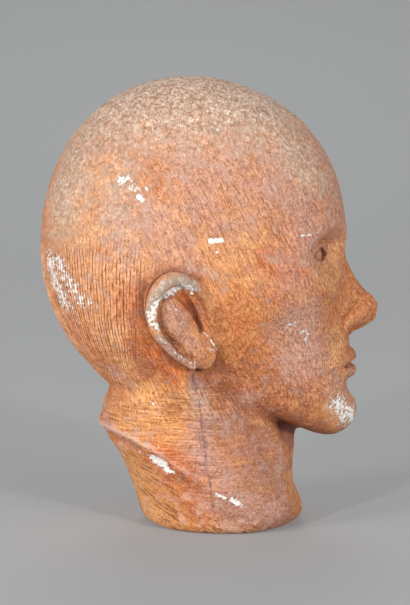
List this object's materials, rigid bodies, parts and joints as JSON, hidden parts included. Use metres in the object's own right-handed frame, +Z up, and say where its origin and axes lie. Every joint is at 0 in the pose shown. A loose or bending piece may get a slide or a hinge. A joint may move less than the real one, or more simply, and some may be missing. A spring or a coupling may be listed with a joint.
{
  "type": "sculpted male head",
  "caption": "Life-size sculpted male head with close-cropped grooved hair, cast in one piece and standing on the flat underside of its neck.",
  "frame": {"origin": "middle of the flat underside of the neck, on the surface that it stands on", "axes": "+Z up, -Y the way the face looks, +X towards the left ear"},
  "size_m": [0.1822, 0.223, 0.2959],
  "materials": {
    "painted_plaster": "terracotta-coloured wash on cast plaster, matt, with white chips, mauve-grey deposits and a dusty crown"
  },
  "bodies": {
    "root": {"head": "painted_plaster"}
  },
  "joints": []
}
